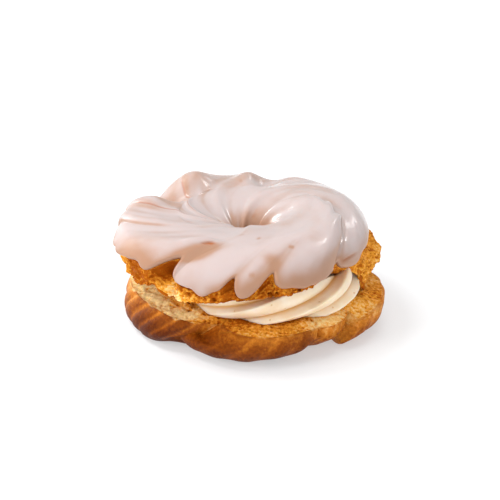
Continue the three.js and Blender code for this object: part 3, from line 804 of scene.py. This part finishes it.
def creamFinish(sizes):
    material, shader, place = newFinish("cream", **sizes["shader"])
    cloud = noise(place, sizes["clouds"], 4)
    away, chance = cells(place, sizes["bubbles"])
    bubble = (1 - away.between(0.07, 0.16)) * chance.maths("GREATER_THAN", 0.7)
    # painted shade in the creases and bubble pits
    shadeInCreasesAndPits = layer(place, "crease").between(0.5, 1).maths("MAXIMUM", bubble * 0.8)
    body = cloud.between(0.3, 0.75).blend(sizes["body"], sizes["light"])
    feed(shader, {"Base Color": shadeInCreasesAndPits.blend(body, sizes["crease"]), "Roughness": 0.4 + cloud * 0.15,
                  "Normal": relief(bubble, 0.8, sizes["bubbleDepth"], invert=True)})
    return material


def creamRope(sizes, material):
    tree, given = growTree("cream rope", sizes["rope"])
    start = given["Geometry"]
    columns, rows = given["Steps Along"] + 1, given["Steps Round"] + 1
    shape = start.node("GeometryNodeMeshGrid", None,
                       {"Size X": 1, "Size Y": 1, "Vertices X": columns, "Vertices Y": rows})
    place = start.node("GeometryNodeInputPosition")
    gridX, gridY = place.part(0), place.part(1)  # from -0.5 to 0.5
    around, section = ((share + 0.5) * (2 * math.pi) for share in (gridX, gridY))
    turn = section - around * given["Twist"]
    across, up = turn.maths("SINE"), turn.maths("COSINE")
    east, north = around.maths("COSINE"), around.maths("SINE")
    strand = (section * given["Points"] / (2 * math.pi)).maths("FRACT")  # 0 at a crease, then the sharp edge
    lobe = strand.between(0, sizes["sharpRun"]) * (1 - strand) ** sizes["fallPower"]

    def spot(x, y, z):
        return z.node("ShaderNodeCombineXYZ", None, {"X": x, "Y": y, "Z": z})

    def swelling(centre, width, rise):
        apart = (around * (180 / math.pi) - centre).maths("WRAP", -180, 180) / width
        return (apart * apart * -1).maths("EXPONENT") * (rise * mm)

    plain = given["Ring Radius"] + given["Reach"] * across
    ragged = noise(spot(plain * east, plain * north, given["Rise"] * up), sizes["raggedScale"], 3) - 0.5
    ragged = ragged * strand.between(0, 0.1) * (1 - strand.between(0.15, 0.4)) * sizes["ragged"]
    swell = 1 + (lobe * sizes["peak"] - 1) * given["Ridge"] + ragged
    reach, outer = given["Reach"], across.maths("GREATER_THAN", 0)
    for row in sizes["reach"]:
        reach = reach + swelling(*row) * outer
    radius = given["Ring Radius"] + reach * swell * across
    height = given["Middle Height"] + given["Rise"] * swell * up

    lid, centre = lidSizes["centre"], baseSizes["centre"]
    x, y = radius * east + centre[0] * mm, radius * north + centre[1] * mm
    right, front = (math.tan(math.radians(lidSizes[key])) for key in ("rightUp", "frontUp"))
    ceiling = (x - lid[0] * mm) * right - (y - lid[1] * mm) * front + (lid[2] - sizes["underLid"]) * mm
    ceiling = ceiling + swelling(*sizes["crown"]) * radius.between(*sizes["crownFrom"])
    height = height.maths("SMOOTH_MAX", given["Cut Height"], sizes["softBelow"])
    height = height.maths("SMOOTH_MIN", ceiling, sizes["softAbove"])
    seam = gridX.maths("ABSOLUTE").maths("MAXIMUM", gridY.maths("ABSOLUTE")).maths("GREATER_THAN", 0.4999)
    shape = store(store(shape, "crease", 1 - lobe), "seam", seam)
    shape = shape.node("GeometryNodeSetPosition", None, {"Geometry": shape, "Position": spot(x, y, height)})
    shape = shape.node("GeometryNodeMergeByDistance", None,
                       {"Geometry": shape, "Selection": named(shape, "seam"), "Distance": 0.001 * mm})
    shape = shape.node("GeometryNodeFlipFaces", None, {"Mesh": shape})
    closeTree(tree, shape, material)
    return tree


creamRing = bpy.data.objects.new("creamRing", bpy.data.meshes.new("creamRing"))
bpy.context.scene.collection.objects.link(creamRing)
runTree(creamRing, creamRope(creamSizes, creamFinish(creamSizes)), creamSizes["rope"])
print("cream piped")

# frame: each piece rides on the one body and stands for its node
for piece, node, slot in ((chouxBase, "choux_base", "baked_crust"), (chouxTop, "choux_top", "baked_crust"),
                          (icingCoat, "icing", "icing"), (creamRing, "cream", "cream")):
    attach(piece, "root")
    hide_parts(node)
print("pieces joined to the frame")

# pale floor, soft studio light
studio = {
    "floorHalf": 3, "floor": {"Base Color": (0.54, 0.55, 0.56, 1), "Roughness": 0.9, "Specular IOR Level": 0,
                              "Emission Color": (1, 1, 1, 1), "Emission Strength": 0.43},
    "sky": 0.62, "aim": (0, 0, 0.02),
    "lamps": [  # soft lamps light the faces, shiny ones only make the highlights
        {"name": "key", "at": (-0.45, 0.05, 0.8), "size": 0.35, "power": 4.4, "shine": False},
        {"name": "top", "at": (0.1, 0.1, 0.95), "size": 0.6, "power": 1.8, "shine": False},
        {"name": "left", "at": (-0.85, -0.45, 0.5), "size": 0.5, "power": 5.6, "shine": False},
        {"name": "front", "at": (0.5, -0.95, 0.45), "size": 1, "power": 3.6, "shine": False},
        {"name": "backLeft", "at": (-0.65, 0.66, 0.28), "size": 0.35, "power": 3.4, "shine": True},
        {"name": "right", "at": (0.45, 0.35, 0.8), "size": 0.16, "power": 1.5, "shine": True},
        {"name": "backRight", "at": (0.45, 0.75, 0.48), "size": 0.16, "power": 0.35, "shine": True},
    ],
}
half = studio["floorHalf"]
corners = [(-half, -half, 0), (half, -half, 0), (half, half, 0), (-half, half, 0)]
floorMesh = bpy.data.meshes.new("floor")
floorMesh.from_pydata(corners, [], [(0, 1, 2, 3)])
floor = bpy.data.objects.new("floor", floorMesh)
bpy.context.scene.collection.objects.link(floor)
floorFinish, _, _ = newFinish("floor", **studio["floor"])
floorMesh.materials.append(floorFinish)

for lamp in studio["lamps"]:
    data = bpy.data.lights.new(lamp["name"], "AREA")
    data.shape, data.size, data.energy = "SQUARE", lamp["size"], lamp["power"]
    light = bpy.data.objects.new(lamp["name"], data)
    light.location = lamp["at"]
    light.visible_glossy, light.visible_diffuse = lamp["shine"], not lamp["shine"]
    light.rotation_euler = (Vector(lamp["at"]) - Vector(studio["aim"])).to_track_quat("Z", "Y").to_euler()
    bpy.context.scene.collection.objects.link(light)
world = bpy.data.worlds.new("studio")
world.use_nodes = True
sky = world.node_tree.nodes["Background"].inputs
sky["Color"].default_value = (1, 1, 1, 1)
sky["Strength"].default_value = studio["sky"]
bpy.context.scene.world = world
bpy.context.scene.view_settings.view_transform = "Standard"
print("lights set")
